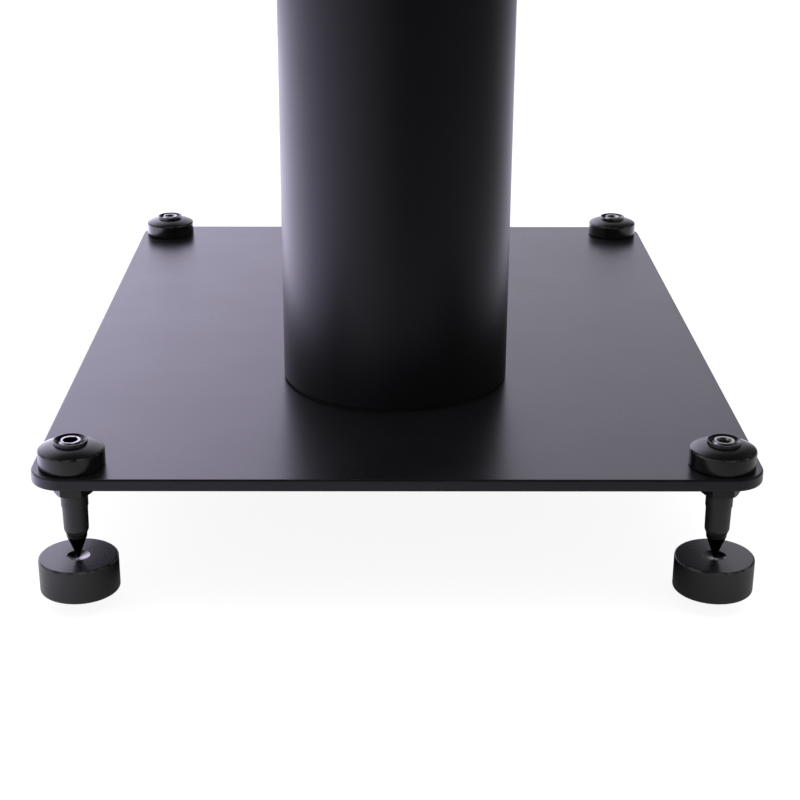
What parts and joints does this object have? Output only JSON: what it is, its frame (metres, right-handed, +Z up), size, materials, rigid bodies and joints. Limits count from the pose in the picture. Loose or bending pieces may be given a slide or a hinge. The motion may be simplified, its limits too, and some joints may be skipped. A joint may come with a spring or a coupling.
{
  "type": "speaker stand",
  "caption": "Free-standing loudspeaker stand: a round steel pillar between two flat plates, on adjustable spikes with locking knobs and round floor shoes.",
  "frame": {"origin": "on the floor, under the middle of the base plate", "axes": "+Z up; +X to the right and -Y to the front, the side the pillar stands nearer to and the picture looks from"},
  "size_m": [0.2566, 0.3266, 0.599],
  "materials": {
    "plate_coating": "satin black powder coat, very fine texture",
    "pillar_coating": "satin black powder coat",
    "bare_steel": "turned steel, hidden inside the pillar",
    "gasket_rubber": "matt black sheet rubber",
    "black_screw": "black oxide",
    "black_nut": "black oxide",
    "spike_steel": "satin black shank over a polished black point",
    "washer_rubber": "matt black rubber",
    "knob_black": "black anodised, fine turning lines",
    "shoe_black": "satin black turned steel"
  },
  "bodies": {
    "stand": {"base_plate": "plate_coating", "foot_gasket": "gasket_rubber", "pillar_tube": "pillar_coating", "pillar_foot_disc": "bare_steel", "pillar_head_disc": "bare_steel", "head_gasket": "gasket_rubber", "top_plate": "plate_coating", "base_screws": "black_screw", "top_screws": "black_screw", "under_nut_front_left": "black_nut", "under_nut_front_right": "black_nut", "under_nut_rear_left": "black_nut", "under_nut_rear_right": "black_nut"},
    "shoe_front_left": {"spike_shoe_front_left": "shoe_black"},
    "spike_front_left": {"spike_front_left": "spike_steel"},
    "washer_front_left": {"lock_washer_front_left": "washer_rubber"},
    "knob_front_left": {"lock_knob_front_left": "knob_black"},
    "shoe_front_right": {"spike_shoe_front_right": "shoe_black"},
    "spike_front_right": {"spike_front_right": "spike_steel"},
    "washer_front_right": {"lock_washer_front_right": "washer_rubber"},
    "knob_front_right": {"lock_knob_front_right": "knob_black"},
    "shoe_rear_left": {"spike_shoe_rear_left": "shoe_black"},
    "spike_rear_left": {"spike_rear_left": "spike_steel"},
    "washer_rear_left": {"lock_washer_rear_left": "washer_rubber"},
    "knob_rear_left": {"lock_knob_rear_left": "knob_black"},
    "shoe_rear_right": {"spike_shoe_rear_right": "shoe_black"},
    "spike_rear_right": {"spike_rear_right": "spike_steel"},
    "washer_rear_right": {"lock_washer_rear_right": "washer_rubber"},
    "knob_rear_right": {"lock_knob_rear_right": "knob_black"}
  },
  "joints": [
    {"name": "foot_height_front_left", "type": "slide", "parent": "stand", "child": "shoe_front_left", "axis": [0, 0, 1], "range_m": [-0.006, 0]},
    {"name": "spike_turn_front_left", "type": "hinge", "parent": "shoe_front_left", "child": "spike_front_left", "pos_m": [-0.114, -0.149, 0.0302], "axis": [0, 0, 1], "range_deg": [-1728, 0]},
    {"name": "knob_lift_front_left", "type": "slide", "parent": "stand", "child": "washer_front_left", "axis": [0, 0, 1], "range_m": [0, 0.0025]},
    {"name": "knob_turn_front_left", "type": "hinge", "parent": "washer_front_left", "child": "knob_front_left", "pos_m": [-0.114, -0.149, 0.0529], "axis": [0, 0, 1], "range_deg": [0, 720]},
    {"name": "foot_height_front_right", "type": "slide", "parent": "stand", "child": "shoe_front_right", "axis": [0, 0, 1], "range_m": [-0.006, 0]},
    {"name": "spike_turn_front_right", "type": "hinge", "parent": "shoe_front_right", "child": "spike_front_right", "pos_m": [0.114, -0.149, 0.0302], "axis": [0, 0, 1], "range_deg": [-1728, 0]},
    {"name": "knob_lift_front_right", "type": "slide", "parent": "stand", "child": "washer_front_right", "axis": [0, 0, 1], "range_m": [0, 0.0025]},
    {"name": "knob_turn_front_right", "type": "hinge", "parent": "washer_front_right", "child": "knob_front_right", "pos_m": [0.114, -0.149, 0.0529], "axis": [0, 0, 1], "range_deg": [0, 720]},
    {"name": "foot_height_rear_left", "type": "slide", "parent": "stand", "child": "shoe_rear_left", "axis": [0, 0, 1], "range_m": [-0.006, 0]},
    {"name": "spike_turn_rear_left", "type": "hinge", "parent": "shoe_rear_left", "child": "spike_rear_left", "pos_m": [-0.114, 0.149, 0.0302], "axis": [0, 0, 1], "range_deg": [-1728, 0]},
    {"name": "knob_lift_rear_left", "type": "slide", "parent": "stand", "child": "washer_rear_left", "axis": [0, 0, 1], "range_m": [0, 0.0025]},
    {"name": "knob_turn_rear_left", "type": "hinge", "parent": "washer_rear_left", "child": "knob_rear_left", "pos_m": [-0.114, 0.149, 0.0529], "axis": [0, 0, 1], "range_deg": [0, 720]},
    {"name": "foot_height_rear_right", "type": "slide", "parent": "stand", "child": "shoe_rear_right", "axis": [0, 0, 1], "range_m": [-0.006, 0]},
    {"name": "spike_turn_rear_right", "type": "hinge", "parent": "shoe_rear_right", "child": "spike_rear_right", "pos_m": [0.114, 0.149, 0.0302], "axis": [0, 0, 1], "range_deg": [-1728, 0]},
    {"name": "knob_lift_rear_right", "type": "slide", "parent": "stand", "child": "washer_rear_right", "axis": [0, 0, 1], "range_m": [0, 0.0025]},
    {"name": "knob_turn_rear_right", "type": "hinge", "parent": "washer_rear_right", "child": "knob_rear_right", "pos_m": [0.114, 0.149, 0.0529], "axis": [0, 0, 1], "range_deg": [0, 720]}
  ],
  "couplings": [
    {"joint": "spike_turn_front_left", "follows": "foot_height_front_left", "rad_per_m": 5026.5},
    {"joint": "knob_turn_front_left", "follows": "knob_lift_front_left", "rad_per_m": 5026.5},
    {"joint": "spike_turn_front_right", "follows": "foot_height_front_right", "rad_per_m": 5026.5},
    {"joint": "knob_turn_front_right", "follows": "knob_lift_front_right", "rad_per_m": 5026.5},
    {"joint": "spike_turn_rear_left", "follows": "foot_height_rear_left", "rad_per_m": 5026.5},
    {"joint": "knob_turn_rear_left", "follows": "knob_lift_rear_left", "rad_per_m": 5026.5},
    {"joint": "spike_turn_rear_right", "follows": "foot_height_rear_right", "rad_per_m": 5026.5},
    {"joint": "knob_turn_rear_right", "follows": "knob_lift_rear_right", "rad_per_m": 5026.5}
  ]
}
